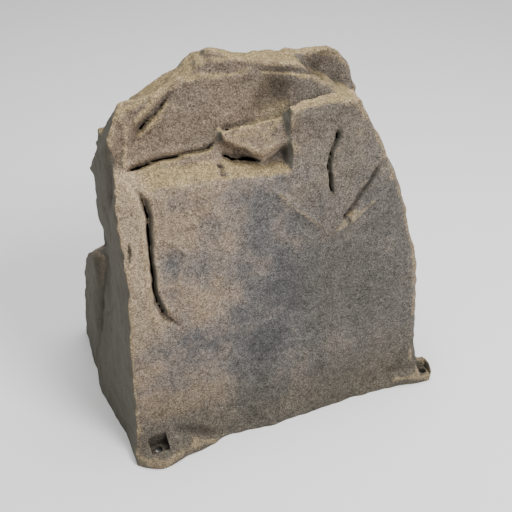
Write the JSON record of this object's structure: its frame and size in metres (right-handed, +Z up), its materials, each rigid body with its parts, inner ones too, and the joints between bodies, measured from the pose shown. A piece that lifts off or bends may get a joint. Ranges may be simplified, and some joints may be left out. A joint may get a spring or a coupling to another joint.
{
  "type": "artificial rock equipment cover",
  "caption": "Hollow moulded artificial-rock cover for pond pumps and filters, open underneath, with stake pockets at its base corners and loose ground stakes with washers.",
  "frame": {"origin": "centre of the base's bounding rectangle, on the ground", "axes": "+Z up, +X to the right along the broad front face, +Y towards the back"},
  "size_m": [0.7227, 0.53, 0.776],
  "materials": {
    "stone_resin": "speckled, rough, stone-like, with tan and grey grains",
    "stake_steel": "bright galvanised",
    "washer_steel": "bright galvanised"
  },
  "bodies": {
    "cover": {"rock_shell": "stone_resin"},
    "stake_front_left": {"ground_stake_front_left": "stake_steel"},
    "washer_front_left": {"stake_washer_front_left": "washer_steel"},
    "stake_front_right": {"ground_stake_front_right": "stake_steel"},
    "washer_front_right": {"stake_washer_front_right": "washer_steel"},
    "stake_rear_left": {"ground_stake_rear_left": "stake_steel"},
    "washer_rear_left": {"stake_washer_rear_left": "washer_steel"},
    "stake_rear_right": {"ground_stake_rear_right": "stake_steel"},
    "washer_rear_right": {"stake_washer_rear_right": "washer_steel"}
  },
  "joints": [
    {"name": "lift_off_front_left", "type": "slide", "parent": "cover", "child": "stake_front_left", "axis": [0, 0, -1], "range_m": [0, 0.3]},
    {"name": "lift_off_front_right", "type": "slide", "parent": "cover", "child": "stake_front_right", "axis": [0, 0, -1], "range_m": [0, 0.3]},
    {"name": "lift_off_rear_left", "type": "slide", "parent": "cover", "child": "stake_rear_left", "axis": [0, 0, -1], "range_m": [0, 0.3]},
    {"name": "lift_off_rear_right", "type": "slide", "parent": "cover", "child": "stake_rear_right", "axis": [0, 0, -1], "range_m": [0, 0.3]},
    {"name": "washer_slide_front_left", "type": "slide", "parent": "stake_front_left", "child": "washer_front_left", "axis": [0.9997, 0, -0.0239], "range_m": [0, 0.215]},
    {"name": "washer_slide_front_right", "type": "slide", "parent": "stake_front_right", "child": "washer_front_right", "axis": [-0.9997, 0, -0.0239], "range_m": [0, 0.215]},
    {"name": "washer_slide_rear_left", "type": "slide", "parent": "stake_rear_left", "child": "washer_rear_left", "axis": [0.9997, 0, -0.0239], "range_m": [0, 0.215]},
    {"name": "washer_slide_rear_right", "type": "slide", "parent": "stake_rear_right", "child": "washer_rear_right", "axis": [-0.9997, 0, -0.0239], "range_m": [0, 0.215]}
  ]
}
